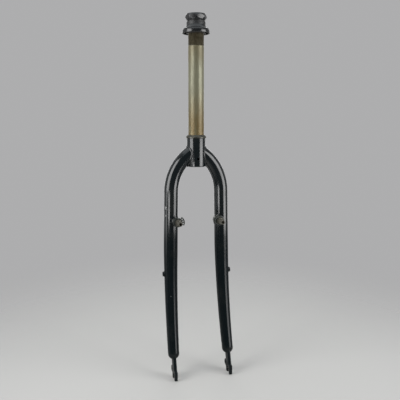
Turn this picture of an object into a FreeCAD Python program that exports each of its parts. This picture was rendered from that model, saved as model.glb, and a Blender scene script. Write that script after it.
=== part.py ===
# A steel bicycle fork for a threaded headset, with cantilever studs and the upper headset pieces left on.
# Millimetres. The origin is the crown race seat on the steering axis.
# +Z runs up the steerer and -Y is the front.
import FreeCAD, Part
import Sketcher
import math
import os
import re
from FreeCAD import Placement, Rotation, Vector

doc = FreeCAD.newDocument("bicycle_fork")
sheet = doc.addObject("Spreadsheet::Sheet", "sizes")

# Driving dimensions: name, size, what it measures
driving_sizes = [
    ("steerer_diameter", 28.6, "outside of the steerer"),
    ("steerer_wall", 1.6, "wall along the stem's length"),
    ("steerer_top", 217.2, "height of the steerer above the crown race seat"),
    ("butt_wall", 2.4, "thicker wall at the foot of the steerer"),
    ("butt_height", 50.0, "height where the thicker wall ends"),
    ("butt_taper", 1.5, "length over which the wall thins"),
    ("seat_step", 0.7, "how far the crown race seat stands out of the steerer"),
    ("seat_height", 6.2, "height of the crown race seat"),
    ("collar_step", 2.2, "how far the collar stands out of the seat"),
    ("collar_drop", 52.6, "length of the collar below the seat"),
    ("collar_chamfer", 1.2, "bevel round the collar's lower edge"),
    ("crown_hole", 5.5, "bolt hole through the collar, front to back"),
    ("crown_hole_drop", 37.8, "depth of that hole below the seat"),
    ("keyway_width", 3.2, "keyway at the back of the thread"),
    ("keyway_depth", 0.9, "depth of the keyway"),
    ("keyway_length", 50.0, "length of the keyway from the top"),
    ("thread_gap", 0.05, "radial room in the threads and press fits"),
    ("braze_gap", 0.05, "room for braze between joined pieces"),
    ("blade_diameter", 26.0, "outside of a blade at the crown"),
    ("blade_end_diameter", 20.8, "outside of a blade at its lower end"),
    ("blade_wall", 1.5, "wall of a blade"),
    ("bend_radius", 89.0, "radius of the bend at the crown"),
    ("bend_drop", 98.5, "depth at which the bend ends"),
    ("bend_reach", 47.9, "half the spacing of the blades below the bend"),
    ("axle_drop", 436.0, "depth of the axle below the seat"),
    ("rake", 45.0, "how far the axle lies in front of the steering axis"),
    ("rake_radius", 700.0, "radius of the forward curve"),
    ("taper_lead", 25.0, "length of the forward curve before the taper starts"),
    ("blade_gap", 29.0, "from the blade's end to the axle"),
    ("hub_width", 100.0, "between the inner faces of the dropouts"),
    ("dropout_thickness", 5.5, "plate of a dropout"),
    ("slot_width", 9.2, "axle slot"),
    ("tip_reach", 8.0, "from the axle to the tips of the prongs"),
    ("front_reach", 10.5, "from the axle to the front edge"),
    ("rear_reach", 12.0, "from the axle to the rear edge"),
    ("shoulder_rise", 10.0, "from the axle to the shoulders of the plate"),
    ("tab_width", 17.0, "tab that is brazed into the blade"),
    ("tab_depth", 17.0, "how far the tab goes into the blade"),
    ("corner_round", 2.5, "rounded corners of the plate"),
    ("eyelet_back", 16.0, "mudguard eyelet behind the axle"),
    ("eyelet_rise", 7.0, "mudguard eyelet above the axle"),
    ("eyelet_diameter", 12.0, "outside of the eyelet"),
    ("eyelet_hole", 5.0, "thread in the eyelet"),
    ("stud_spacing", 80.0, "between the two brake studs"),
    ("stud_drop", 153.1, "depth of the studs below the seat"),
    ("stud_reach", 40.7, "tip of a stud in front of the steering axis"),
    ("post_diameter", 8.0, "post that a brake arm turns on"),
    ("post_length", 16.0, "length of the post"),
    ("stud_hole", 5.0, "thread in the end of the post"),
    ("stud_hole_depth", 14.0, "depth of that thread"),
    ("neck_diameter", 12.0, "shoulder behind the post"),
    ("neck_length", 2.0, "how far the shoulder stands in front of the plate"),
    ("base_diameter", 17.0, "base of the stud"),
    ("base_back", 3.0, "back of the base in front of the steering axis"),
    ("plate_thickness", 2.5, "spring plate"),
    ("fan_reach", 12.5, "from the stud's axis to the fan's rim"),
    ("fan_angle", 84.0, "angle that the fan spans"),
    ("fan_tilt", 13.5, "angle of the fan above level"),
    ("spring_hole", 2.5, "hole for a brake spring"),
    ("spring_hole_reach", 9.6, "from the stud's axis to a spring hole"),
    ("spring_hole_step", 25.0, "angle between the spring holes"),
    ("boss_drop", 253.1, "depth of the rack bosses below the seat"),
    ("boss_diameter", 9.0, "rack boss"),
    ("boss_height", 3.0, "how far a boss stands out of the blade"),
    ("boss_spigot", 7.0, "spigot of a boss in the blade's wall"),
    ("boss_thread", 5.0, "thread of a boss"),
    ("boss_depth", 9.0, "length of that thread"),
    ("crown_race_rim", 3.5, "radial width of the crown race"),
    ("crown_race_edge", 2.4, "height of its outer edge"),
    ("crown_race_crest", 0.9, "radial width of its top"),
    ("crown_race_height", 5.6, "height of the crown race"),
    ("race_drop", 30.8, "bottom of the adjusting race below the steerer's top"),
    ("race_height", 20.3, "height of the adjusting race"),
    ("skirt_width", 10.3, "radial width of the race at its skirt"),
    ("skirt_height", 9.6, "height of the skirt"),
    ("skirt_wall", 2.0, "wall of the skirt"),
    ("skirt_round", 4.6, "rounded top edge of the skirt"),
    ("cup_depth", 4.2, "depth of the ball cup under the race"),
    ("cup_nose", 3.0, "radial width of the threaded nose in the cup"),
    ("neck_width", 2.7, "radial width of the race's neck"),
    ("neck_height", 5.1, "height of that neck"),
    ("washer_thickness", 2.0, "keyed washer"),
    ("washer_rim", 1.3, "radial width of the washer"),
    ("key_gap", 0.1, "room round the washer's tab"),
    ("nut_flats", 36.0, "across the flats of the lock nut"),
    ("nut_height", 11.7, "height of the lock nut"),
    ("nut_bevel", 2.6, "radial depth of the bevels at the nut's two ends"),
    ("nut_ridge", 0.4, "how far outside the corners the two bevels would meet"),
    ("nut_lip", 2.0, "height of the lip over the steerer's end"),
    ("nut_lip_room", 0.4, "room round the stem in the lip"),
    ("nut_turn", 35.6, "angle of a corner of the nut from the X axis"),
]
for row, (alias, value, meaning) in enumerate(driving_sizes, start=1):
    sheet.set(f"A{row}", meaning)
    sheet.set(f"B{row}", str(value))
    sheet.setAlias(f"B{row}", alias)
doc.recompute()

nut_sides = 8
bend_steps = 6
curve_steps = 7
forward = Rotation(Vector(1, 0, 0), 90)
outward = Rotation(Vector(0, 1, 0), 90)


def in_sheet(text):
    return re.sub(r"[a-z]\w+", lambda word: f"sizes.{word.group()}", text)


def size(text):
    return float(sheet.evalExpression(in_sheet(text)))


def bind(target, **expressions):
    for name, text in expressions.items():
        target.setExpression(name, in_sheet(text))


def put(target, place, turn=Rotation()):
    # A place is a worked out point, or three expressions that stay bound to the sheet
    if isinstance(place, Vector):
        target.Placement = Placement(place, turn)
        return target
    target.Placement = Placement(Vector(*[size(text) for text in place]), turn)
    for axis, text in zip("xyz", place):
        target.setExpression(f"Placement.Base.{axis}", in_sheet(text))
    return target


def cylinder(name, diameter, length, place=Vector(), turn=Rotation()):
    solid = doc.addObject("Part::Cylinder", name)
    bind(solid, Radius=f"({diameter}) / 2", Height=length)
    return put(solid, place, turn)


def box(name, width, depth, height, place, turn=Rotation()):
    solid = doc.addObject("Part::Box", name)
    bind(solid, Length=width, Width=depth, Height=height)
    return put(solid, place, turn)


def fuse(name, *shapes):
    result = doc.addObject("Part::MultiFuse", name)
    result.Shapes = list(shapes)
    result.Refine = True
    return result


def cut(name, base, *tools):
    for step, tool in enumerate(tools, start=1):
        result = doc.addObject("Part::Cut", name if step == len(tools) else f"{name}_cut_{step}")
        result.Base = base
        result.Tool = tool
        base = result
    return base


def mirrored(name, source):
    result = doc.addObject("Part::Mirroring", name)
    result.Source = source
    result.Normal = Vector(1, 0, 0)
    return result


def turned(name, corners, place=Vector(), turn=Rotation()):
    # A turned piece: each corner is a radius and a height along the piece's own axis
    body = doc.addObject("PartDesign::Body", name)
    sketch = body.newObject("Sketcher::SketchObject", f"{name}_profile")
    plane = next(item for item in body.Origin.OriginFeatures if item.Role == "XZ_Plane")
    sketch.AttachmentSupport = (plane, [""])
    sketch.MapMode = "FlatFace"
    points = [Vector(size(radius), size(height), 0) for radius, height in corners]
    following = points[1:] + points[:1]
    for start, end in zip(points, following):
        sketch.addGeometry(Part.LineSegment(start, end))
    for line in range(len(points)):
        sketch.addConstraint(Sketcher.Constraint("Coincident", line, 2, (line + 1) % len(points), 1))
    for line, (radius, height) in enumerate(corners):
        across = sketch.addConstraint(Sketcher.Constraint("DistanceX", -1, 1, line, 1, points[line].x))
        sketch.setExpression(f"Constraints[{across}]", in_sheet(radius))
        up = sketch.addConstraint(Sketcher.Constraint("DistanceY", -1, 1, line, 1, points[line].y))
        sketch.setExpression(f"Constraints[{up}]", in_sheet(height))
    spin = body.newObject("PartDesign::Revolution", f"{name}_turning")
    spin.Profile = sketch
    spin.ReferenceAxis = (sketch, ["V_Axis"])
    spin.Angle = 360
    return put(body, place, turn)


# Radii that several pieces share
steerer_radius = "steerer_diameter / 2"
seat_radius = f"({steerer_radius} + seat_step)"
collar_radius = f"({seat_radius} + collar_step)"
bore_radius = f"({steerer_radius} - steerer_wall)"
butt_radius = f"({steerer_radius} - butt_wall)"
thread_radius = f"({steerer_radius} + thread_gap)"


def make_steerer():
    tube = turned("steerer_turned", [
        (butt_radius, "-collar_drop"),
        (f"{collar_radius} - collar_chamfer", "-collar_drop"),
        (collar_radius, "collar_chamfer - collar_drop"),
        (collar_radius, "0"),
        (seat_radius, "0"),
        (seat_radius, "seat_height"),
        (steerer_radius, "seat_height"),
        (steerer_radius, "steerer_top"),
        (bore_radius, "steerer_top"),
        (bore_radius, "butt_height"),
        (butt_radius, "butt_height - butt_taper"),
    ])
    hole = cylinder("crown_hole_drill", "crown_hole", f"4 * {collar_radius}",
                    ("0", f"2 * {collar_radius}", "-crown_hole_drop"), forward)
    keyway = box("keyway_cutter", "keyway_width", "2 * keyway_depth", "2 * keyway_length",
                 ("-keyway_width / 2", f"{steerer_radius} - keyway_depth", "steerer_top - keyway_length"))
    return cut("steerer_tube", tube, hole, keyway)


# The centre line of the left blade: a bend from the steerer, a straight run and a forward curve
plate_centre = size("hub_width / 2 + dropout_thickness / 2")
curve_radius = size("rake_radius")
bend_radius = size("bend_radius")
dome_to_axle = size("blade_gap + blade_end_diameter / 2")
lean = math.asin((size("rake") - curve_radius) / math.hypot(curve_radius, dome_to_axle))
lean += math.atan2(curve_radius, dome_to_axle)
axle = Vector(plate_centre, -size("rake"), -size("axle_drop"))
bend_end = Vector(size("bend_reach"), 0, -size("bend_drop"))
blade_drop = bend_end.z - axle.z - dome_to_axle * math.cos(lean)
splay = math.atan2(plate_centre - bend_end.x, blade_drop)
down = Vector(math.sin(splay), 0, -math.cos(splay))
aside = Vector(math.cos(splay), 0, math.sin(splay))
ahead = Vector(0, -1, 0)
curve_start = bend_end + down * (blade_drop / math.cos(splay) - curve_radius * math.sin(lean))
bend_centre = bend_end - aside * bend_radius
mitre_turn = math.acos((size(collar_radius) - bend_centre.x) / bend_radius) - splay
taper_turn = size("taper_lead") / curve_radius


def on_bend(turn):
    return bend_centre + (aside * math.cos(turn) - down * math.sin(turn)) * bend_radius


def along_bend(turn):
    return aside * math.sin(turn) + down * math.cos(turn)


def on_curve(turn):
    return curve_start + (down * math.sin(turn) + ahead * (1 - math.cos(turn))) * curve_radius


def along_curve(turn):
    return down * math.cos(turn) + ahead * math.sin(turn)


def blade_radius(turn):
    share = max(0.0, (turn - taper_turn) / (lean - taper_turn))
    return f"(blade_diameter - {share} * (blade_diameter - blade_end_diameter)) / 2"


boss_turn = math.asin((size("boss_drop") + curve_start.z) / (curve_radius * math.cos(splay)))
boss_centre = on_curve(boss_turn)


def blade_rings(last_turn):
    # Centre, heading and radius of rings down the blade
    # It is straight at the collar and at the rack boss
    heading = along_bend(mitre_turn)
    straight = size("blade_diameter / 2")
    yield on_bend(mitre_turn) - heading * size(collar_radius), heading, blade_radius(0)
    yield on_bend(mitre_turn) + heading * straight, heading, blade_radius(0)
    rest = mitre_turn - math.asin(straight / bend_radius)
    for step in range(1, bend_steps + 1):
        turn = rest * (1 - step / bend_steps)
        yield on_bend(turn), along_bend(turn), blade_radius(0)
    yield curve_start, down, blade_radius(0)
    stride = (last_turn - taper_turn) / curve_steps
    heading = along_curve(boss_turn)
    for step in range(curve_steps + 1):
        turn = taper_turn + step * stride
        if turn - stride < boss_turn < turn:
            for offset in (size("-0.6 * boss_diameter"), size("0.6 * boss_diameter")):
                yield boss_centre + heading * offset, heading, blade_radius(boss_turn)
        yield on_curve(turn), along_curve(turn), blade_radius(turn)


def make_bar(name, allowance, last_turn=lean):
    # A round bar down the blade's centre line, with the blade's taper and a radial allowance
    rings = []
    for number, (centre, heading, radius) in enumerate(blade_rings(last_turn), start=1):
        ring = doc.addObject("Part::Circle", f"{name}_ring_{number}")
        bind(ring, Radius=f"{radius} + {allowance}")
        rings.append(put(ring, centre, Rotation(Vector(0, 0, -1), heading)))
    bar = doc.addObject("Part::Loft", name)
    bar.Sections = rings
    bar.Ruled = True
    bar.Solid = True
    return bar


def make_tab(name, allowance):
    # The dropout's tab, leaning with the end of the blade
    turn = Rotation(Vector(1, 0, 0), -math.degrees(lean))
    corner = Vector(size(f"-dropout_thickness / 2 - {allowance}"),
                    size(f"-tab_width / 2 - {allowance}"), 0)
    return box(name, f"dropout_thickness + 2 * {allowance}", f"tab_width + 2 * {allowance}",
               f"blade_gap + tab_depth + {allowance}", axle + turn.multVec(corner), turn)


def make_blade():
    dome = doc.addObject("Part::Sphere", "blade_dome")
    dome.Angle1 = 0
    bind(dome, Radius="blade_end_diameter / 2")
    put(dome, on_curve(lean), Rotation(Vector(0, 0, 1), along_curve(lean)))
    form = fuse("blade_form", make_bar("blade_bar", "0"), dome)
    hollow = make_bar("blade_hollow", "-blade_wall", lean - size("tab_depth") / curve_radius)
    collar_room = cylinder("collar_room", f"2 * {collar_radius} + 2 * braze_gap",
                           "2 * (collar_drop + bend_drop)", ("0", "0", "-collar_drop - bend_drop"))
    boss_hole = cylinder("boss_hole", "boss_spigot + 2 * braze_gap", "blade_diameter",
                         boss_centre, outward)
    return cut("left_blade", form, hollow, collar_room, make_tab("tab_slot", "braze_gap"), boss_hole)


def make_dropout():
    corner = axle - Vector(size("dropout_thickness / 2"), size("front_reach"), size("tip_reach"))
    plate = box("dropout_plate", "dropout_thickness", "front_reach + rear_reach",
                "tip_reach + shoulder_rise", corner)
    inner_face = axle - Vector(size("dropout_thickness / 2"), 0, 0)
    eyelet_centre = inner_face + Vector(0, size("eyelet_back"), size("eyelet_rise"))
    eyelet = cylinder("dropout_eyelet", "eyelet_diameter", "dropout_thickness", eyelet_centre, outward)
    outline = fuse("dropout_outline", plate, make_tab("dropout_tab", "0"), eyelet)
    doc.recompute()
    corners = doc.addObject("Part::Fillet", "dropout_corners")
    corners.Base = outline
    corners.Edges = [(number, size("corner_round"), size("corner_round"))
                     for number, edge in enumerate(outline.Shape.Edges, start=1) if is_plate_corner(edge)]
    slot_top = cylinder("slot_top", "slot_width", "dropout_thickness", inner_face, outward)
    slot_mouth = box("slot_mouth", "dropout_thickness", "slot_width", "2 * tip_reach",
                     inner_face - Vector(0, size("slot_width / 2"), size("2 * tip_reach")))
    thread = cylinder("eyelet_drill", "eyelet_hole", "dropout_thickness", eyelet_centre, outward)
    return cut("left_dropout", corners, slot_top, slot_mouth, thread)


def is_plate_corner(edge):
    # Straight edges across the plate's thickness, below the end of the blade
    first, last = edge.Vertexes[0].Point, edge.Vertexes[-1].Point
    across = abs(abs(first.x - last.x) - size("dropout_thickness")) < 0.01
    return across and first.z - axle.z < size("blade_gap") and isinstance(edge.Curve, Part.Line)


def make_brake_stud():
    base_front = "(stud_reach - post_length - neck_length - plate_thickness - base_back)"
    neck_front = "(stud_reach - post_length - base_back)"
    tip = "(stud_reach - base_back)"
    stud = turned("stud_turned", [
        ("0", "0"),
        ("base_diameter / 2", "0"),
        ("base_diameter / 2", base_front),
        ("neck_diameter / 2", base_front),
        ("neck_diameter / 2", neck_front),
        ("post_diameter / 2", neck_front),
        ("post_diameter / 2", tip),
        ("stud_hole / 2", tip),
        ("stud_hole / 2", f"{tip} - stud_hole_depth"),
        ("0", f"{tip} - stud_hole_depth"),
    ], ("stud_spacing / 2", "-base_back", "-stud_drop"), forward)
    saddle = cylinder("stud_saddle", "blade_diameter + 2 * braze_gap", "axle_drop", bend_end,
                      Rotation(Vector(0, 0, 1), down))
    return cut("left_brake_stud", stud, saddle)


def make_spring_plate():
    back = Vector(size("stud_spacing / 2"),
                  size("post_length + neck_length + plate_thickness - stud_reach"), -size("stud_drop"))
    inboard = 180 - size("fan_tilt")
    ring = cylinder("spring_plate_ring", "base_diameter", "plate_thickness", back, forward)
    fan = cylinder("spring_plate_fan", "2 * fan_reach", "plate_thickness", back,
                   forward * Rotation(Vector(0, 0, 1), inboard - size("fan_angle") / 2))
    bind(fan, Angle="fan_angle")
    drills = [cylinder("spring_plate_bore", "neck_diameter + 2 * braze_gap", "plate_thickness",
                       back, forward)]
    for step in (-1, 0, 1):
        angle = math.radians(inboard + step * size("spring_hole_step"))
        offset = Vector(math.cos(angle), 0, math.sin(angle)) * size("spring_hole_reach")
        drills.append(cylinder(f"spring_hole_drill_{step + 2}", "spring_hole", "plate_thickness",
                               back + offset, forward))
    return cut("left_spring_plate", fuse("spring_plate_outline", ring, fan), *drills)


def make_rack_boss():
    face = boss_centre + Vector(size(f"{blade_radius(boss_turn)} + boss_height"), 0, 0)
    flange = cylinder("boss_flange", "boss_diameter", "blade_diameter / 2 + boss_height",
                      face - Vector(size("blade_diameter / 2 + boss_height"), 0, 0), outward)
    seated = cut("boss_seated", flange, make_bar("boss_saddle", "braze_gap"))
    inner_end = face - Vector(size("boss_depth"), 0, 0)
    spigot = cylinder("boss_spigot_bar", "boss_spigot", "boss_depth", inner_end, outward)
    thread = cylinder("boss_drill", "boss_thread", "boss_depth", inner_end, outward)
    return cut("left_rack_boss", fuse("boss_blank", seated, spigot), thread)


def make_crown_race():
    bore = f"({seat_radius} + thread_gap)"
    return turned("crown_race", [
        (bore, "0"),
        (f"{seat_radius} + crown_race_rim", "0"),
        (f"{seat_radius} + crown_race_rim", "crown_race_edge"),
        (f"{bore} + crown_race_crest", "crown_race_height"),
        (bore, "crown_race_height"),
    ])


def make_adjusting_race():
    skirt = f"({steerer_radius} + skirt_width)"
    return turned("adjusting_race", [
        (thread_radius, "0"),
        (f"{thread_radius} + cup_nose", "0"),
        (f"{thread_radius} + cup_nose", "cup_depth"),
        (f"{skirt} - skirt_wall", "cup_depth"),
        (f"{skirt} - skirt_wall", "0"),
        (skirt, "0"),
        (skirt, "skirt_height - skirt_round"),
        (f"{skirt} - 0.3 * skirt_round", "skirt_height - 0.3 * skirt_round"),
        (f"{skirt} - skirt_round", "skirt_height"),
        (f"{steerer_radius} + neck_width", "race_height - neck_height"),
        (f"{steerer_radius} + neck_width", "race_height"),
        (thread_radius, "race_height"),
    ], ("0", "0", "steerer_top - race_drop"))


def make_keyed_washer():
    seat = ("0", "0", "steerer_top - race_drop + race_height")
    ring = cylinder("washer_ring", f"{steerer_radius} * 2 + 2 * washer_rim", "washer_thickness", seat)
    bore = cylinder("washer_bore", f"2 * {thread_radius}", "washer_thickness", seat)
    key = box("washer_key", "keyway_width - 2 * key_gap", "keyway_depth + washer_rim / 2 - key_gap",
              "washer_thickness",
              ("key_gap - keyway_width / 2", f"{steerer_radius} - keyway_depth + key_gap", seat[2]))
    return fuse("keyed_washer", cut("washer_bored", ring, bore), key)


def make_lock_nut():
    seat = ("0", "0", "steerer_top - race_drop + race_height + washer_thickness")
    corner = f"(nut_flats / {2 * math.cos(math.pi / nut_sides):.9f})"
    opening = f"({bore_radius} + nut_lip_room)"
    turning = turned("nut_turning", [
        (thread_radius, "0"),
        (f"{corner} - nut_bevel", "0"),
        (f"{corner} + nut_ridge", "nut_height / 2"),
        (f"{corner} - nut_bevel", "nut_height"),
        (opening, "nut_height"),
        (opening, "nut_height - nut_lip"),
        (thread_radius, "nut_height - nut_lip"),
    ], seat)
    flats = doc.addObject("Part::Prism", "nut_flats_bar")
    flats.Polygon = nut_sides
    bind(flats, Circumradius=corner, Height="nut_height")
    put(flats, seat, Rotation(Vector(0, 0, 1), size("nut_turn")))
    nut = doc.addObject("Part::Common", "lock_nut")
    nut.Base = turning
    nut.Tool = flats
    return nut


left_pieces = [make_blade(), make_dropout(), make_brake_stud(), make_spring_plate(), make_rack_boss()]
right_pieces = [mirrored(piece.Name.replace("left", "right"), piece) for piece in left_pieces]
headset = [make_crown_race(), make_adjusting_race(), make_keyed_washer(), make_lock_nut()]
pieces = [make_steerer()] + left_pieces + right_pieces + headset
doc.recompute()

for item in doc.Objects:
    if {"Invalid", "Error"} & set(item.State):
        raise RuntimeError(f"{item.Label} did not build: {item.State}")
for piece in pieces:
    if piece.Shape.isNull() or not piece.Shape.isValid() or len(piece.Shape.Solids) != 1:
        raise RuntimeError(f"{piece.Label} is not one sound solid")

os.makedirs("parts", exist_ok=True)
for piece in pieces:
    piece.Shape.exportStep(f"parts/{piece.Label}.step")
    print(piece.Label, round(piece.Shape.Volume), "cubic mm")
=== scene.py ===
import math

import bmesh
import bpy
import numpy as np
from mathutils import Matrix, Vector


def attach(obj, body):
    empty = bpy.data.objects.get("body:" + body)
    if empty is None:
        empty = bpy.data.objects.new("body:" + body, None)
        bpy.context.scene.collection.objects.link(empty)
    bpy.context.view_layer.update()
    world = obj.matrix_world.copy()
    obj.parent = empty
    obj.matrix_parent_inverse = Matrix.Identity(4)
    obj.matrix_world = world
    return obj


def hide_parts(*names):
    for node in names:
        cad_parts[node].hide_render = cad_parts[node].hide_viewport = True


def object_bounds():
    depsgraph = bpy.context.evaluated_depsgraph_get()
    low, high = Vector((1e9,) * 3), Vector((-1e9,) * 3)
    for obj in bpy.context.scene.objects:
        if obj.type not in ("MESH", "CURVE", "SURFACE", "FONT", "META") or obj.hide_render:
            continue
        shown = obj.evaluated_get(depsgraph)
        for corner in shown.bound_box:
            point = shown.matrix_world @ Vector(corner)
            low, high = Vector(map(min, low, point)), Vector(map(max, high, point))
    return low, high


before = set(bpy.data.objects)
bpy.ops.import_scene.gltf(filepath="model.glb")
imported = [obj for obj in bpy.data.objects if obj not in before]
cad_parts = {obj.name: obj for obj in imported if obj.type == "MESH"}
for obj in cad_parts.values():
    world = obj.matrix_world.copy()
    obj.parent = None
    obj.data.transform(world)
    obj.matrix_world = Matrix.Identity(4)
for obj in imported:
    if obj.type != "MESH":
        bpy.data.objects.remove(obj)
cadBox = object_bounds()
print("frame loaded,", len(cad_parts), "solids")


class Wire:
    # a node socket that takes plain arithmetic
    def __init__(self, tree, socket=None):
        self.tree = tree
        self.socket = socket

    def node(self, kind, settings={}, inputs={}, output=0):
        made = self.tree.nodes.new(kind)
        for key, value in settings.items():
            setattr(made, key, value)
        for key, value in inputs.items():
            if isinstance(value, Wire):
                self.tree.links.new(value.socket, made.inputs[key])
            else:
                made.inputs[key].default_value = value
        return Wire(self.tree, made.outputs[output] if made.outputs else None)

    def calc(self, operation, *values):
        return self.node("ShaderNodeMath", {"operation": operation}, dict(enumerate(values)))

    def vector(self, operation, output, *values):
        return self.node("ShaderNodeVectorMath", {"operation": operation}, dict(enumerate(values)), output)

    def __add__(self, other):
        return self.calc("ADD", self, other)

    def __radd__(self, other):
        return self.calc("ADD", other, self)

    def __sub__(self, other):
        return self.calc("SUBTRACT", self, other)

    def __rsub__(self, other):
        return self.calc("SUBTRACT", other, self)

    def __mul__(self, other):
        return self.calc("MULTIPLY", self, other)

    def __rmul__(self, other):
        return self.calc("MULTIPLY", other, self)

    def __truediv__(self, other):
        return self.calc("DIVIDE", self, other)

    def __rtruediv__(self, other):
        return self.calc("DIVIDE", other, self)


def fade(value, low, high):
    # 0 at low, 1 at high, smooth between
    return value.node("ShaderNodeMapRange", {"interpolation_type": "SMOOTHSTEP"}, {0: value, 1: low, 2: high})


def tint(factor, first, second):
    # the colour sockets of the Mix node are 6 and 7, and its colour comes out at 2
    return factor.node("ShaderNodeMix", {"data_type": "RGBA"}, {0: factor, 6: first, 7: second}, 2)


def grain(place, scale, detail=3.0, rough=0.5):
    return place.node("ShaderNodeTexNoise", {}, {
        "Vector": place, "Scale": scale, "Detail": detail, "Roughness": rough})


def stretched(place, scale):
    return place.node("ShaderNodeMapping", {}, {"Vector": place, "Scale": scale})


def relief(height, distance):
    return height.node("ShaderNodeBump", {}, {"Strength": 1.0, "Distance": distance, "Height": height})


def along(place, axis):
    return place.node("ShaderNodeSeparateXYZ", {}, {0: place}, axis)


def startMaterial(name):
    # an empty material and its Object coordinates
    material = bpy.data.materials.new(name)
    material.use_nodes = True
    material.node_tree.nodes.clear()
    return material, Wire(material.node_tree).node("ShaderNodeTexCoord", output=3)


def makeFinish(name, look):
    material, place = startMaterial(name)
    surface = place.node("ShaderNodeBsdfPrincipled", {}, look(place))
    place.node("ShaderNodeOutputMaterial", {}, {"Surface": surface})
    return material


paint = {
    "colour": (0.0030, 0.0056, 0.0066, 1), "dust": (0.021, 0.0225, 0.021, 1), "primer": (0.45, 0.46, 0.45, 1),
    "dustScale": 30.0, "dustLimits": (0.48, 0.78), "dustCover": 0.5, "dustDulls": 0.3,
    "nickScale": 300.0, "nickLimits": (0.12, 0.07), "nickEdgeScale": 1500.0, "nickRagged": 0.2,
    "nickPatchScale": 55.0, "nickPatchLimits": (0.70, 0.74),
    "roughness": 0.5, "primerRougher": 0.2, "coatRoughness": 0.15, "coatIor": 1.6, "chipDepth": 0.00006,
    "glossEnds": (-0.150, -0.200),  # heights between which the gloss goes dull
    "dullGloss": 0.36,
    "chipEdgeScale": 1300.0, "chipRagged": 3, "chipCore": 0.75,
    # place and radius of each chip
    "chips": [((-0.0595, -0.0066, -0.1262), 0.0012), ((-0.0595, -0.0066, -0.1288), 0.0011),
              ((-0.0597, -0.0064, -0.1415), 0.0011), ((-0.0541, -0.0198, -0.2920), 0.0005)],
}


def chipMarks(place):
    # soft round marks at the places of the chips, ragged at the edge
    ragged = (grain(place, paint["chipEdgeScale"], 3.0, 0.7) - 0.5) * paint["chipRagged"]
    mask = None
    for point, radius in paint["chips"]:
        reach = place.vector("DISTANCE", 1, place, point)
        mark = fade(reach + ragged * radius, radius, radius * paint["chipCore"])
        mask = mark if mask is None else mask.calc("MAXIMUM", mask, mark)
    return mask


def paintLook(place):
    # glossy enamel, duller down the legs, with a little dust and a few chips down to the primer
    dust = fade(grain(place, paint["dustScale"], 5.0), *paint["dustLimits"])
    cells = place.node("ShaderNodeTexVoronoi", {}, {"Vector": place, "Scale": paint["nickScale"]})
    patches = fade(grain(place, paint["nickPatchScale"], 2.0), *paint["nickPatchLimits"])
    ragged = (grain(place, paint["nickEdgeScale"], 2.0) - 0.5) * paint["nickRagged"]
    nicks = fade(cells + ragged, *paint["nickLimits"]) * patches
    chips = nicks.calc("MAXIMUM", nicks, chipMarks(place))
    colour = tint(dust * paint["dustCover"], paint["colour"], paint["dust"])
    gloss = 1 - (1 - paint["dullGloss"]) * fade(along(place, 2), *paint["glossEnds"])
    return {
        "Base Color": tint(chips, colour, paint["primer"]),
        "Roughness": paint["roughness"] + paint["primerRougher"] * chips,
        "Specular IOR Level": 0.0,
        "Coat Weight": gloss * (1 - paint["dustDulls"] * dust) * (1 - chips),
        "Coat Roughness": paint["coatRoughness"],
        "Coat IOR": paint["coatIor"],
        "Normal": relief(1 - chips, paint["chipDepth"]),
    }


tarnish = {
    "bright": (0.204, 0.200, 0.136, 1), "dull": (0.146, 0.140, 0.089, 1), "brown": (0.134, 0.093, 0.031, 1),
    "grease": (0.035, 0.028, 0.016, 1),
    # heights between which the brown grows towards the race, and where it comes back under the thread
    "brownTop": 0.105, "brownFoot": 0.012, "brownAgain": 0.120,
    "brownRagged": 0.08, "againRagged": 0.06, "threadFoot": 0.1652, "greaseEdge": 0.0006,
    "drawnScale": 900.0, "drawnStretch": (1, 1, 0.012), "drawnDepth": 0.00005,
    "blotchScale": 75.0, "blotchStretch": (1, 1, 0.3), "dullLimits": (0.36, 0.66),
    "brownLimits": (0.20, 0.55), "metal": 0.36, "roughness": 0.34,
}


def tarnishLook(place):
    # bare drawn steel gone olive, browner towards the crown race
    drawn = grain(stretched(place, tarnish["drawnStretch"]), tarnish["drawnScale"], 4.0, 0.6)
    blotch = grain(stretched(place, tarnish["blotchStretch"]), tarnish["blotchScale"], 5.0, 0.6)
    height = along(place, 2)
    low = height + (blotch - 0.5) * tarnish["brownRagged"]
    low = fade(low, tarnish["brownTop"], tarnish["brownFoot"])
    high = height + (blotch - 0.5) * tarnish["againRagged"]
    high = fade(high, tarnish["brownAgain"], tarnish["threadFoot"])
    dullness = fade(blotch + (drawn - 0.5) * 0.5, *tarnish["dullLimits"])
    colour = tint(dullness * 0.75, tarnish["bright"], tarnish["dull"])
    brown = (low + 0.35 * high) * fade(blotch, *tarnish["brownLimits"])
    colour = tint(brown, colour, tarnish["brown"])
    threaded = fade(height, tarnish["threadFoot"] - tarnish["greaseEdge"], tarnish["threadFoot"])
    return {
        "Base Color": tint(threaded, colour, tarnish["grease"]),
        "Metallic": tarnish["metal"] + 0.06 * high + 0.02 * low - 0.10 * dullness,
        "Roughness": tarnish["roughness"] + 0.12 * dullness,
        "Normal": relief(drawn, tarnish["drawnDepth"]),
    }


threadDirt = {
    "grease": (0.045, 0.035, 0.017, 1), "rust": (0.093, 0.080, 0.049, 1),
    "scale": 260.0, "rustLimits": (0.35, 0.65), "metal": 0.2, "roughness": 0.40, "depth": 0.00008,
}


def threadLook(place):
    # old grease and rust in the thread
    dirt = grain(place, threadDirt["scale"], 4.0, 0.6)
    return {
        "Base Color": tint(fade(dirt, *threadDirt["rustLimits"]), threadDirt["grease"], threadDirt["rust"]),
        "Metallic": threadDirt["metal"] + 0.3 * dirt,
        "Roughness": threadDirt["roughness"] + 0.22 * dirt,
        "Normal": relief(dirt, threadDirt["depth"]),
    }


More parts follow.
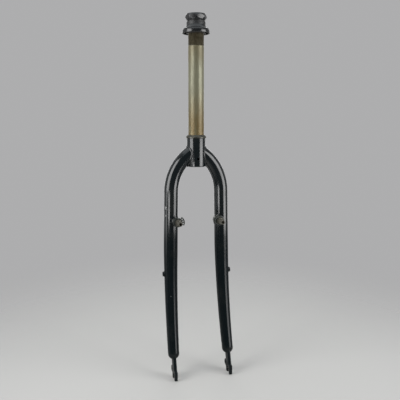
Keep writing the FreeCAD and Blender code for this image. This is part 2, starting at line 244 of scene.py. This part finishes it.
raceSteel = {
    "clean": (0.067, 0.067, 0.057, 1), "stained": (0.040, 0.036, 0.025, 1), "stainScale": 120.0,
    "stainLimits": (0.40, 0.70), "turnedScale": 300.0, "turnedStretch": (1, 1, 14), "turnedDepth": 0.00003,
    "metal": 0.6, "roughness": 0.34,
}


def raceSteelLook(place):
    # turned steel with old stains
    turned = grain(stretched(place, raceSteel["turnedStretch"]), raceSteel["turnedScale"], 3.0)
    stain = fade(grain(place, raceSteel["stainScale"], 4.0), *raceSteel["stainLimits"])
    return {
        "Base Color": tint(stain, raceSteel["clean"], raceSteel["stained"]),
        "Metallic": raceSteel["metal"] - 0.3 * stain,
        "Roughness": raceSteel["roughness"] + 0.2 * stain,
        "Normal": relief(turned, raceSteel["turnedDepth"]),
    }


headset = {
    "black": (0.0056, 0.0064, 0.0072, 1), "rubbed": (0.032, 0.033, 0.035, 1),
    # grease in the ball cup, and the same dark painted as shade under the skirt
    "grease": (0.008, 0.0067, 0.004, 1),
    # heights between which the neck under the nut starts and ends
    "neckFoot": (0.1995, 0.2025), "neckTop": (0.2090, 0.2084),
    # heights and radii between which the ball cup turns greasy and the foot of the skirt turns dark as
    # painted shade
    "cupTop": (0.1918, 0.1908), "cupWall": (0.0232, 0.0226), "skirtFoot": (0.1873, 0.1867),
    "wearScale": 210.0, "wearLimits": (0.52, 0.72),
    "turnedScale": 260.0, "turnedStretch": (1, 1, 20), "turnedDepth": 0.000006,
    "roughness": 0.22, "ior": 1.6,
}


def headsetLook(place):
    # satin black plating, rubbed grey in places, rougher in the neck under the nut and darker there as
    # painted shade of the nut, with grease in the cup and painted shade under the skirt
    wear = fade(grain(place, headset["wearScale"], 5.0, 0.65), *headset["wearLimits"])
    turned = grain(stretched(place, headset["turnedStretch"]), headset["turnedScale"], 3.0)
    height = along(place, 2)
    neck = fade(height, *headset["neckFoot"]) * fade(height, *headset["neckTop"])
    flat = place.vector("MULTIPLY", 0, place, (1, 1, 0))
    reach = flat.vector("LENGTH", 1, flat)
    cup = fade(height, *headset["cupTop"]) * fade(reach, *headset["cupWall"])
    greaseAndShade = cup.calc("MAXIMUM", cup, fade(height, *headset["skirtFoot"]))
    # less rubbed grey in the neck under the nut: painted shade of the nut
    colour = tint(wear * (0.5 - 0.4 * neck), headset["black"], headset["rubbed"])
    return {
        # dark grease in the cup, painted shade under the skirt
        "Base Color": tint(greaseAndShade, colour, headset["grease"]),
        "Metallic": 0.2 * wear * (1 - greaseAndShade),
        "Roughness": headset["roughness"] + 0.10 * wear + 0.30 * neck + 0.5 * greaseAndShade,
        "IOR": headset["ior"],
        "Normal": relief(turned, headset["turnedDepth"]),
    }


stud = {
    "steel": (0.114, 0.110, 0.092, 1), "rust": (0.064, 0.059, 0.045, 1), "dusty": (0.040, 0.044, 0.037, 1),
    "bareFrom": (-0.0225, -0.0260),  # the post goes bare between these, from back to front
    "grimeScale": 240.0, "grimeRagged": 0.006, "grimeDepth": 0.00003,
    "rustLimits": (0.38, 0.64), "dustLimits": (0.30, 0.62), "wornLimits": (0.46, 0.80),
    "metal": 0.45, "roughness": 0.34,
}


def studLook(place):
    # brown grey steel at the post, dull dusty paint on the base and plate
    grime = grain(place, stud["grimeScale"], 5.0, 0.6)
    front = fade(along(place, 1) + (grime - 0.5) * stud["grimeRagged"], *stud["bareFrom"])
    worn = fade(front * 0.8 + grime * 0.6, *stud["wornLimits"])
    steel = tint(fade(grime, *stud["rustLimits"]), stud["steel"], stud["rust"])
    enamel = tint(fade(grime, *stud["dustLimits"]), paint["colour"], stud["dusty"])
    return {
        "Base Color": tint(worn, enamel, steel),
        "Metallic": stud["metal"] * worn,
        "Roughness": stud["roughness"] + 0.06 * worn + 0.1 * grime,
        "Normal": relief(grime, stud["grimeDepth"]),
    }


dropout = {
    "axle": (0.0, -0.045, -0.436), "clampEdge": (0.0090, 0.0078), "bare": (0.186, 0.176, 0.153, 1),
    "grimeScale": 200.0, "grimeRagged": 0.006, "wornLimits": (0.90, 1.08), "metal": 0.85,
}


def dropoutLook(place):
    # painted plate, pressed bare where the axle nuts bite round the slot
    grime = grain(place, dropout["grimeScale"], 5.0, 0.6)
    flat = place.vector("MULTIPLY", 0, place, (0, 1, 1))
    reach = flat.vector("DISTANCE", 1, flat, dropout["axle"])
    bitten = fade(reach + (grime - 0.5) * dropout["grimeRagged"], *dropout["clampEdge"])
    worn = fade(bitten * 0.4 + grime, *dropout["wornLimits"])
    enamel = paintLook(place)
    return enamel | {
        "Base Color": tint(worn, enamel["Base Color"], dropout["bare"]),
        "Metallic": dropout["metal"] * worn,
        "Roughness": paint["roughness"] - 0.2 * worn,
        "Coat Weight": enamel["Coat Weight"] * (1 - worn),
    }


looks = {
    "blackPaint": makeFinish("blackPaint", paintLook),
    "bareSteel": makeFinish("bareSteel", tarnishLook),
    "threadSteel": makeFinish("threadSteel", threadLook),
    "raceSteel": makeFinish("raceSteel", raceSteelLook),
    "blackHeadset": makeFinish("blackHeadset", headsetLook),
    "wornStud": makeFinish("wornStud", studLook),
    "paintedPlate": makeFinish("paintedPlate", dropoutLook),
}
print("finishes made:", ", ".join(looks))


def addPiece(name, mesh, look=None, stands=(), sharpAngle=40):
    # puts a mesh in the scene as a piece of the fork
    piece = bpy.data.objects.new(name, mesh)
    bpy.context.scene.collection.objects.link(piece)
    if look:
        mesh.materials.clear()
        mesh.materials.append(looks[look])
    mesh.shade_smooth()
    mesh.set_sharp_from_angle(angle=math.radians(sharpAngle))
    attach(piece, "root")
    if stands:
        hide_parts(*stands)


def carry(name, mesh):
    # a passing object that holds a mesh while its modifiers work
    carrier = bpy.data.objects.new(name, mesh)
    bpy.context.scene.collection.objects.link(carrier)
    return carrier


def plainMesh(carrier):
    # the evaluated shape as a plain mesh; the carrier goes
    bpy.context.view_layer.update()
    graph = bpy.context.evaluated_depsgraph_get()
    mesh = bpy.data.meshes.new_from_object(carrier.evaluated_get(graph), depsgraph=graph)
    bpy.data.objects.remove(carrier)
    return mesh


def meshFrom(work, name):
    mesh = bpy.data.meshes.new(name)
    work.to_mesh(mesh)
    work.free()
    return mesh


def softCorners(corners, steps=4):
    # a closed profile of (radius, height, rounding) with its corners turned to arcs
    outline = []
    for number, (radius, height, rounding) in enumerate(corners):
        here = Vector((radius, height))
        if not rounding:
            outline.append(here)
            continue
        before = (Vector(corners[number - 1][:2]) - here).normalized()
        after = (Vector(corners[(number + 1) % len(corners)][:2]) - here).normalized()
        half = before.angle(after) / 2
        start = here + before * rounding / math.tan(half)
        end = here + after * rounding / math.tan(half)
        centre = here + (before + after).normalized() * rounding / math.sin(half)
        for step in range(steps + 1):
            swing = (start - centre).lerp(end - centre, step / steps)
            outline.append(centre + swing.normalized() * rounding)
    return outline


def latheMesh(name, outline, sides, weld=1e-6, sliver=1e-7):
    # spins a closed profile round the steering axis
    work = bmesh.new()
    rings = []
    for side in range(sides):
        turn = 2 * math.pi * side / sides
        rings.append([work.verts.new((p.x * math.cos(turn), p.x * math.sin(turn), p.y)) for p in outline])
    for side in range(sides):
        ring, following = rings[side], rings[(side + 1) % sides]
        for corner in range(len(outline)):
            onward = (corner + 1) % len(outline)
            work.faces.new((ring[corner], following[corner], following[onward], ring[onward]))
    bmesh.ops.remove_doubles(work, verts=work.verts, dist=weld)
    bmesh.ops.dissolve_degenerate(work, edges=work.edges, dist=sliver)
    bmesh.ops.recalc_face_normals(work, faces=work.faces)
    return meshFrom(work, name)


def cutAway(name, mesh, toolMesh):
    # a mesh less the space of a tool
    carrier = carry(name + "Blank", mesh)
    tool = carry(name + "Tool", toolMesh)
    cut = carrier.modifiers.new("cut", "BOOLEAN")
    cut.object = tool
    cut.solver = "EXACT"
    mesh = plainMesh(carrier)
    bpy.data.objects.remove(tool)
    return mesh


# the bare steerer and the painted collar below the crown race, in metres
steerer = {
    "radius": 0.0143, "bore": 0.0127, "top": 0.2172, "sides": 144, "edge": 0.0003, "softEdge": 0.0004,
    "foot": 0.0005, "seatRadius": 0.0150, "seatTop": 0.0062, "buttTop": 0.050, "buttSlope": 0.0015,
    "collarRadius": 0.0172, "collarFoot": -0.0526, "collarBore": 0.0119, "collarRounding": 0.0014,
    "crownHole": 0.00275, "crownHoleHeight": -0.0378, "drillLength": 0.06, "drillSides": 40,
    "keyway": 0.0032, "keywayDepth": 0.0009, "keywayLength": 0.050, "keyCutterDepth": 0.01,
}
thread = {
    "foot": tarnish["threadFoot"], "pitch": 0.000977, "depth": 0.00050, "slope": 0.001, "pointsPerTurn": 96,
    "ridgeSides": 4, "lift": 0.0006,  # room at both ends, to the middle of the ridge
}


def keywayCutter():
    s = steerer
    block = bmesh.new()
    bmesh.ops.create_cube(block, size=1.0)
    bed = s["radius"] - s["keywayDepth"]
    for vert in block.verts:
        vert.co = Vector((vert.co.x * s["keyway"], (vert.co.y + 0.5) * s["keyCutterDepth"] + bed,
                          vert.co.z * 2 * s["keywayLength"] + s["top"]))
    return meshFrom(block, "keyBlock")


def crownDrill():
    s = steerer
    drill = bmesh.new()
    bmesh.ops.create_cone(drill, cap_ends=True, segments=s["drillSides"], radius1=s["crownHole"],
                          radius2=s["crownHole"], depth=s["drillLength"])
    for vert in drill.verts:
        vert.co = Vector((vert.co.x, vert.co.z, -vert.co.y + s["crownHoleHeight"]))
    bmesh.ops.recalc_face_normals(drill, faces=drill.faces)
    return meshFrom(drill, "crownDrill")


def makeSteerer():
    s = steerer
    root = s["radius"] - thread["depth"]
    tube = latheMesh("steererTube", softCorners([
        (s["collarBore"], s["foot"], 0), (s["seatRadius"], s["foot"], 0),
        (s["seatRadius"], s["seatTop"], s["edge"]), (s["radius"], s["seatTop"], 0),
        (s["radius"], thread["foot"] - thread["slope"], s["softEdge"]), (root, thread["foot"], 0),
        (root, s["top"], s["edge"]), (s["bore"], s["top"], s["edge"]),
        (s["bore"], s["buttTop"], s["softEdge"]),
        (s["collarBore"], s["buttTop"] - s["buttSlope"], s["softEdge"]),
    ]), s["sides"])
    tube = cutAway("steererTube", tube, keywayCutter())
    addPiece("steererTube", tube, "bareSteel", ["steerer_tube"])
    collar = latheMesh("crownCollar", softCorners([
        (s["collarBore"], s["collarFoot"], s["edge"]),
        (s["collarRadius"], s["collarFoot"], s["collarRounding"]),
        (s["collarRadius"], 0, s["softEdge"]), (s["collarBore"], 0, 0),
    ]), s["sides"])
    addPiece("crownCollar", cutAway("crownCollar", collar, crownDrill()), "blackPaint")


def newTree(name, sockets):
    # an empty geometry tree, a wire to build it with, and a wire from each of its named inputs
    tree = bpy.data.node_groups.new(name, "GeometryNodeTree")
    for label, kind in sockets:
        tree.interface.new_socket(label, in_out="INPUT", socket_type="NodeSocket" + kind)
    tree.interface.new_socket("Shape", in_out="OUTPUT", socket_type="NodeSocketGeometry")
    start = Wire(tree)
    entry = {label: start.node("NodeGroupInput", output=number) for number, (label, _) in enumerate(sockets)}
    return tree, start, entry


def closeTree(shape, finishSocket):
    shape = shape.node("GeometryNodeSetShadeSmooth", {}, {"Geometry": shape})
    shape = shape.node("GeometryNodeRealizeInstances", {}, {"Geometry": shape})
    shape = shape.node("GeometryNodeSetMaterial", {}, {"Geometry": shape, "Material": finishSocket})
    shape.node("NodeGroupOutput", {}, {0: shape})


def runTree(name, tree, mesh, values):
    # the plain mesh that a tree grows from a guide
    carrier = carry(name + "Guide", mesh)
    modifier = carrier.modifiers.new("grow", "NODES")
    modifier.node_group = tree
    for item in tree.interface.items_tree:
        if item.item_type == "SOCKET" and item.in_out == "INPUT" and item.name in values:
            modifier[item.identifier] = values[item.name]
    return plainMesh(carrier)


def threadTree():
    # a four sided ridge wound round the steerer
    tree, start, entry = newTree("steererThread", [
        ("Guide", "Geometry"), ("Root", "Float"), ("Depth", "Float"), ("Foot", "Float"), ("Length", "Float"),
        ("Turns", "Float"), ("Key Half", "Float"), ("Key Bed", "Float"), ("Finish", "Material")])
    helix = start.node("GeometryNodeCurveSpiral", {}, {
        "Resolution": thread["pointsPerTurn"], "Rotations": entry["Turns"], "Start Radius": entry["Root"],
        "End Radius": entry["Root"], "Height": entry["Length"]})
    helix = start.node("GeometryNodeSetCurveNormal", {"mode": "Z_UP"}, {"Curve": helix})
    lift = start.node("ShaderNodeCombineXYZ", {}, {2: entry["Foot"]})
    helix = start.node("GeometryNodeTransform", {}, {"Geometry": helix, "Translation": lift})
    ridge = start.node("GeometryNodeCurvePrimitiveCircle", {}, {
        "Resolution": thread["ridgeSides"], "Radius": entry["Depth"]})
    shape = start.node("GeometryNodeCurveToMesh", {}, {
        "Curve": helix, "Profile Curve": ridge, "Fill Caps": True})
    # in the keyway the ridge dives into the wall
    place = start.node("GeometryNodeInputPosition")
    x, y, z = (along(place, axis) for axis in range(3))
    inWidth = place.calc("LESS_THAN", place.calc("ABSOLUTE", x), entry["Key Half"])
    inKey = inWidth * place.calc("GREATER_THAN", y, 0.0)
    inward = entry["Key Bed"] / place.calc("SQRT", x * x + y * y)
    sunk = start.node("ShaderNodeCombineXYZ", {}, {0: x * inward, 1: y * inward, 2: z})
    shape = start.node("GeometryNodeSetPosition", {}, {
        "Geometry": shape, "Selection": inKey, "Position": sunk})
    closeTree(shape, entry["Finish"])
    return tree


def makeThread():
    s = steerer
    turns = int((s["top"] - thread["foot"] - 2 * thread["lift"]) / thread["pitch"])
    mesh = runTree("steererThread", threadTree(), bpy.data.meshes.new("threadGuide"), {
        "Root": s["radius"] - thread["depth"], "Depth": thread["depth"],
        "Foot": thread["foot"] + thread["lift"], "Length": turns * thread["pitch"], "Turns": float(turns),
        "Key Half": s["keyway"] / 2, "Key Bed": (s["bore"] + s["radius"] - s["keywayDepth"]) / 2,
        "Finish": looks["threadSteel"]})
    addPiece("steererThread", mesh, None)


makeSteerer()
makeThread()
print("steerer, collar and thread made")

# centre line and girth of a blade, in metres
blade = {
    "radius": 0.0130, "endRadius": 0.0104, "tipRadius": 0.0002, "crownReach": 0.006,
    "bendRadius": 0.0890, "bendDrop": 0.0985, "bendReach": 0.0479, "axleDrop": 0.4360, "rake": 0.0450,
    "curveRadius": 0.700, "taperLead": 0.025, "gap": 0.029, "plateCentre": 0.05275, "hideRadius": 0.0150,
    "sides": 72, "bendSteps": 40, "straightSteps": 12, "curveSteps": 40, "domeSteps": 12, "sharpAngle": 60,
}
bladeSides = {"left": 1, "right": -1}  # the rider's left and right


class BladeLine:
    # works out points, headings and girth down the left blade
    def __init__(self, b):
        toAxle = b["gap"] + b["endRadius"]
        self.b = b
        self.lean = math.asin((b["rake"] - b["curveRadius"]) / math.hypot(b["curveRadius"], toAxle))
        self.lean += math.atan2(b["curveRadius"], toAxle)
        self.bendEnd = Vector((b["bendReach"], 0, -b["bendDrop"]))
        drop = b["axleDrop"] - b["bendDrop"] - toAxle * math.cos(self.lean)
        splay = math.atan2(b["plateCentre"] - b["bendReach"], drop)
        self.down = Vector((math.sin(splay), 0, -math.cos(splay)))
        self.aside = Vector((math.cos(splay), 0, math.sin(splay)))
        self.ahead = Vector((0, -1, 0))
        straight = drop / math.cos(splay) - b["curveRadius"] * math.sin(self.lean)
        self.curveStart = self.bendEnd + self.down * straight
        self.bendCentre = self.bendEnd - self.aside * b["bendRadius"]
        self.crownTurn = math.acos((b["crownReach"] - self.bendCentre.x) / b["bendRadius"]) - splay

    def fromBend(self, turn):
        return self.aside * math.cos(turn) - self.down * math.sin(turn)

    def onBend(self, turn):
        return self.bendCentre + self.fromBend(turn) * self.b["bendRadius"]

    def onCurve(self, turn):
        swing = self.down * math.sin(turn) + self.ahead * (1 - math.cos(turn))
        return self.curveStart + swing * self.b["curveRadius"]

    def alongCurve(self, turn):
        return self.down * math.cos(turn) + self.ahead * math.sin(turn)

    def girth(self, turn):
        first = self.b["taperLead"] / self.b["curveRadius"]
        share = max(0.0, (turn - first) / (self.lean - first))
        return self.b["radius"] - share * (self.b["radius"] - self.b["endRadius"])

    def atHeight(self, height):
        # centre and girth where the blade passes a height
        below = (height - self.curveStart.z) / self.down.z
        if below < 0:
            return self.curveStart + self.down * below, self.b["radius"]
        turn = math.asin(below / self.b["curveRadius"])
        return self.onCurve(turn), self.girth(turn)

    def stations(self):
        # centre and girth from the crown to the rounded end
        b = self.b
        for step in range(b["bendSteps"] + 1):
            yield self.onBend(self.crownTurn * (1 - step / b["bendSteps"])), b["radius"]
        for step in range(1, b["straightSteps"] + 1):
            yield self.bendEnd.lerp(self.curveStart, step / b["straightSteps"]), b["radius"]
        for step in range(1, b["curveSteps"] + 1):
            turn = self.lean * step / b["curveSteps"]
            yield self.onCurve(turn), self.girth(turn)
        end = self.onCurve(self.lean)
        for step in range(1, b["domeSteps"] + 1):
            turn = math.pi / 2 * step / b["domeSteps"]
            point = end + self.alongCurve(self.lean) * b["endRadius"] * math.sin(turn)
            yield point, max(b["tipRadius"], b["endRadius"] * math.cos(turn))


line = BladeLine(blade)


def guideMesh(name, points, girths, closed=False):
    # a polyline with a girth at each point
    links = [(k, k + 1) for k in range(len(points) - 1)]
    if closed:
        links.append((len(points) - 1, 0))
    mesh = bpy.data.meshes.new(name)
    mesh.from_pydata([tuple(p) for p in points], links, [])
    mesh.attributes.new("girth", "FLOAT", "POINT").data.foreach_set("value", np.array(girths, np.float32))
    return mesh


def tubeTree():
    # a round skin along a guide, kept off the steerer's bore, with a ripple for hand laid beads
    tree, start, entry = newTree("roundAlongLine", [
        ("Guide", "Geometry"), ("Sides", "Int"), ("Hide Radius", "Float"), ("Ripple", "Float"),
        ("Ripple Scale", "Float"), ("Finish", "Material")])
    spine = start.node("GeometryNodeMeshToCurve", {}, {"Mesh": entry["Guide"]})
    girth = start.node("GeometryNodeInputNamedAttribute", {"data_type": "FLOAT"}, {"Name": "girth"})
    ring = start.node("GeometryNodeCurvePrimitiveCircle", {}, {"Resolution": entry["Sides"], "Radius": 1.0})
    shape = start.node("GeometryNodeCurveToMesh", {}, {
        "Curve": spine, "Profile Curve": ring, "Scale": girth, "Fill Caps": True})
    place = start.node("GeometryNodeInputPosition")
    swell = (grain(place, entry["Ripple Scale"], 2.0) - 0.5) * entry["Ripple"]
    normal = start.node("GeometryNodeInputNormal")
    push = start.node("ShaderNodeVectorMath", {"operation": "SCALE"}, {0: normal, "Scale": swell})
    shape = start.node("GeometryNodeSetPosition", {}, {"Geometry": shape, "Offset": push})
    x, y, z = (along(place, axis) for axis in range(3))
    off = place.calc("SQRT", x * x + y * y)
    spread = place.calc("MAXIMUM", entry["Hide Radius"] / off, 1.0)
    moved = start.node("ShaderNodeCombineXYZ", {}, {0: x * spread, 1: y * spread, 2: z})
    shape = start.node("GeometryNodeSetPosition", {}, {"Geometry": shape, "Position": moved})
    closeTree(shape, entry["Finish"])
    return tree


roundTree = tubeTree()


def flipped(points, side):
    return [Vector((side * p.x, p.y, p.z)) for p in points]


def makeBlade(label, side):
    points, girths = zip(*line.stations())
    name = label + "Blade"
    mesh = runTree(name, roundTree, guideMesh(name, flipped(points, side), girths), {
        "Sides": blade["sides"], "Hide Radius": blade["hideRadius"], "Ripple": 0.0, "Ripple Scale": 1.0,
        "Finish": looks["blackPaint"]})
    addPiece(name, mesh, None, [label + "_blade"], sharpAngle=blade["sharpAngle"])


for label, side in bladeSides.items():
    makeBlade(label, side)
print("blades made")

# girths of the beads, the joints that they follow, and the points round each joint
bead = {
    "crown": 0.0021, "stud": 0.0015, "boss": 0.0010, "plate": 0.0011,
    "sides": 14, "ripple": 0.00014, "rippleScale": 140.0, "endThinning": 0.8, "endPower": 5,
    "sharpAngle": 180,  # no edge of a bead is sharp
    "tabWidth": 0.0168, "plateHalf": 0.00275,
    "crownPoints": 64, "crownHalvings": 40, "studPoints": 72, "bossPoints": 40, "plateSteps": 24,
}


def turnsRound(count):
    return [2 * math.pi * step / count for step in range(count)]


def mitreLoop():
    # where the blade's skin meets the collar
    points = []
    for around in turnsRound(bead["crownPoints"]):
        low, high = 0.0, line.crownTurn
        for _ in range(bead["crownHalvings"]):
            turn = (low + high) / 2
            outward = line.fromBend(turn) * math.cos(around) + Vector((0, 1, 0)) * math.sin(around)
            point = line.onBend(turn) + outward * blade["radius"]
            if math.hypot(point.x, point.y) > steerer["collarRadius"]:
                low = turn
            else:
                high = turn
        points.append(point)
    return points


studSeat = {"x": 0.040, "z": -0.1531, "radius": 0.0085, "back": -0.003}


def studLoop():
    # where a stud's base meets the blade, and down the back of the base
    points = []
    for around in turnsRound(bead["studPoints"]):
        x = studSeat["x"] + studSeat["radius"] * math.cos(around)
        z = studSeat["z"] + studSeat["radius"] * math.sin(around)
        y = studSeat["back"]
        centre, girth = line.atHeight(z)
        off = girth ** 2 - (x - centre.x) ** 2
        if off > y ** 2:
            y = -math.sqrt(off)
        else:
            x = centre.x - math.sqrt(girth ** 2 - y ** 2)
        points.append(Vector((x, y, z)))
    return points


bossSeat = {"z": -0.2531, "radius": 0.0045}


def bossLoop():
    # where a rack boss meets the outer side of the blade
    points = []
    middle = line.atHeight(bossSeat["z"])[0]
    for around in turnsRound(bead["bossPoints"]):
        z = bossSeat["z"] + bossSeat["radius"] * math.sin(around)
        y = middle.y + bossSeat["radius"] * math.cos(around)
        centre, girth = line.atHeight(z)
        points.append(Vector((centre.x + math.sqrt(girth ** 2 - (y - centre.y) ** 2), y, z)))
    return points


def plateLoop(offset):
    # where the blade's rounded end meets one face of the dropout plate
    centre = line.onCurve(line.lean)
    heading = line.alongCurve(line.lean)
    across = Vector((0, heading.z, -heading.y))
    reach = math.sqrt(blade["endRadius"] ** 2 - offset ** 2)
    swing = math.asin(bead["tabWidth"] / 2 / reach)
    points = []
    for step in range(bead["plateSteps"] + 1):
        turn = swing * (2 * step / bead["plateSteps"] - 1)
        point = centre + (heading * math.cos(turn) + across * math.sin(turn)) * reach
        points.append(Vector((blade["plateCentre"] + offset, point.y, point.z)))
    return points


def makeBead(name, points, girth, closed=True):
    # an open bead thins towards its ends
    last = len(points) - 1
    girths = [girth] * (last + 1)
    if not closed:
        girths = [girth * (1 - bead["endThinning"] * abs(2 * k / last - 1) ** bead["endPower"])
                  for k in range(last + 1)]
    mesh = runTree(name, roundTree, guideMesh(name, points, girths, closed), {
        "Sides": bead["sides"], "Hide Radius": blade["hideRadius"], "Ripple": bead["ripple"],
        "Ripple Scale": bead["rippleScale"], "Finish": looks["blackPaint"]})
    addPiece(name, mesh, None, sharpAngle=bead["sharpAngle"])


for label, side in bladeSides.items():
    makeBead(label + "CrownBead", flipped(mitreLoop(), side), bead["crown"])
    makeBead(label + "StudBead", flipped(studLoop(), side), bead["stud"])
    makeBead(label + "BossBead", flipped(bossLoop(), side), bead["boss"])
    for face, offset in (("Outer", bead["plateHalf"]), ("Inner", -bead["plateHalf"])):
        makeBead(label + face + "PlateBead", flipped(plateLoop(offset), side), bead["plate"], False)
print("braze beads made")

# width of the broken edges of each small piece, and the angle in degrees from which an edge is broken
edges = {
    "dropout": (0.0006, 32), "brakeStud": (0.0003, 32), "springPlate": (0.0003, 32),
    "rackBoss": (0.0003, 32), "crownRace": (0.0003, 32), "adjustingRace": (0.0004, 25),
    "keyedWasher": (0.0002, 32), "lockNut": (0.0004, 20),
    "segments": 2, "weld": 2e-6, "flatAngle": 0.6,
}


def bevelCopy(name, node, edge, look):
    # a copy of a solid with its edges broken
    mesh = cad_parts[node].data.copy()
    if "custom_normal" in mesh.attributes:
        mesh.attributes.remove(mesh.attributes["custom_normal"])
    work = bmesh.new()
    work.from_mesh(mesh)
    bmesh.ops.remove_doubles(work, verts=work.verts, dist=edges["weld"])
    bmesh.ops.dissolve_limit(work, angle_limit=math.radians(edges["flatAngle"]), verts=work.verts,
                             edges=work.edges)
    work.to_mesh(mesh)
    work.free()
    width, angle = edge
    carrier = carry(name + "Blank", mesh)
    bevel = carrier.modifiers.new("edges", "BEVEL")
    bevel.width = width
    bevel.segments = edges["segments"]
    bevel.angle_limit = math.radians(angle)
    addPiece(name, plainMesh(carrier), look, [node])


for label in bladeSides:
    bevelCopy(label + "Dropout", label + "_dropout", edges["dropout"], "paintedPlate")
    bevelCopy(label + "BrakeStud", label + "_brake_stud", edges["brakeStud"], "wornStud")
    bevelCopy(label + "SpringPlate", label + "_spring_plate", edges["springPlate"], "wornStud")
    bevelCopy(label + "RackBoss", label + "_rack_boss", edges["rackBoss"], "blackPaint")
bevelCopy("crownRace", "crown_race", edges["crownRace"], "raceSteel")
bevelCopy("adjustingRace", "adjusting_race", edges["adjustingRace"], "blackHeadset")
bevelCopy("keyedWasher", "keyed_washer", edges["keyedWasher"], "blackHeadset")
bevelCopy("lockNut", "lock_nut", edges["lockNut"], "blackHeadset")
print("small pieces finished")

studio = {
    "floor": (0.50, 0.495, 0.48, 1), "floorRadius": 1.1, "floorFade": (0.3, 0.95),
    "nearWorld": (0.10, 0.10, 0.103, 1), "farWorld": (0.42, 0.42, 0.425, 1), "worldFade": (-0.35, 0.55),
    # name, degrees round from the front towards the viewer's left, distance, height, size, radiance
    "panels": [("windowLeft", 75, 1.05, 0.355, (0.76, 1.09), 4.8),
               ("lowPanel", 48, 0.60, -0.205, (0.24, 0.085), 6.2),
               ("sillLeft", 92, 1.05, -0.31, (0.50, 0.22), 1.7),
               ("windowRight", -52, 1.05, 0.10, (0.74, 1.00), 5.0),
               ("windowBack", 195, 1.05, 0.30, (0.74, 1.30), 1.6)],
    "ceiling": {"height": 1.6, "ahead": -0.15, "size": 2.4, "radiance": 1.0, "colour": (0.90, 0.96, 1.0)},
}


def floorLook():
    # pale floor that fades into the background away from the fork
    material, place = startMaterial("paleFloor")
    reach = place.vector("LENGTH", 1, place)
    matte = place.node("ShaderNodeBsdfDiffuse", {}, {"Color": studio["floor"]})
    clear = place.node("ShaderNodeBsdfTransparent")
    away = fade(reach, *(studio["floorRadius"] * share for share in studio["floorFade"]))
    surface = place.node("ShaderNodeMixShader", {}, {0: away, 1: matte, 2: clear})
    place.node("ShaderNodeOutputMaterial", {}, {"Surface": surface})
    return material


def makeFloor():
    reach = studio["floorRadius"]
    height = cadBox[0].z
    corners = [(-reach, -reach, height), (reach, -reach, height),
               (reach, reach, height), (-reach, reach, height)]
    mesh = bpy.data.meshes.new("paleFloor")
    mesh.from_pydata(corners, [], [(0, 1, 2, 3)])
    mesh.materials.append(floorLook())
    floor = bpy.data.objects.new("paleFloor", mesh)
    bpy.context.scene.collection.objects.link(floor)


def makeWorld():
    # pale behind the fork, dark in front of it, where the paint mirrors it
    world = bpy.data.worlds.new("studioWorld")
    world.use_nodes = True
    world.node_tree.nodes.clear()
    heading = Wire(world.node_tree).node("ShaderNodeTexCoord")
    colour = tint(fade(along(heading, 1), *studio["worldFade"]), studio["nearWorld"], studio["farWorld"])
    light = colour.node("ShaderNodeBackground", {}, {"Color": colour})
    light.node("ShaderNodeOutputWorld", {}, {"Surface": light})
    bpy.context.scene.world = world


def hangPanel(name, place, width, tall, radiance):
    # a soft lamp of even radiance, facing down until it is turned
    lamp = bpy.data.lights.new(name, "AREA")
    lamp.shape = "RECTANGLE"
    lamp.size = width
    lamp.size_y = tall
    lamp.energy = radiance * math.pi * width * tall
    panel = bpy.data.objects.new(name, lamp)
    panel.location = place
    bpy.context.scene.collection.objects.link(panel)
    return panel


def makeLight():
    for name, azimuth, reach, height, (width, tall), radiance in studio["panels"]:
        turn = math.radians(azimuth)
        inward = Vector((math.sin(turn), math.cos(turn), 0))
        panel = hangPanel(name, (-inward.x * reach, -inward.y * reach, height), width, tall, radiance)
        panel.rotation_euler = inward.to_track_quat("-Z", "Y").to_euler()
    above = studio["ceiling"]
    panel = hangPanel("ceilingPanel", (0, above["ahead"], above["height"]), above["size"], above["size"],
                      above["radiance"])
    panel.data.color = above["colour"]


view = {
    "place": (-0.2573, -0.9670, 0.0280), "gaze": (0.2613, 0.9547, -0.1421), "lens": 48.46, "sensor": 36.0,
    "nearest": 0.01,
}


def makeCamera():
    lens = bpy.data.cameras.new("forkCamera")
    lens.lens = view["lens"]
    lens.sensor_width = view["sensor"]
    lens.clip_start = view["nearest"]
    camera = bpy.data.objects.new("forkCamera", lens)
    camera.location = view["place"]
    camera.rotation_euler = Vector(view["gaze"]).to_track_quat("-Z", "Y").to_euler()
    bpy.context.scene.collection.objects.link(camera)
    bpy.context.scene.camera = camera


makeFloor()
makeWorld()
makeLight()
makeCamera()
bpy.context.scene.view_settings.view_transform = "Standard"
print("floor, light and camera placed")
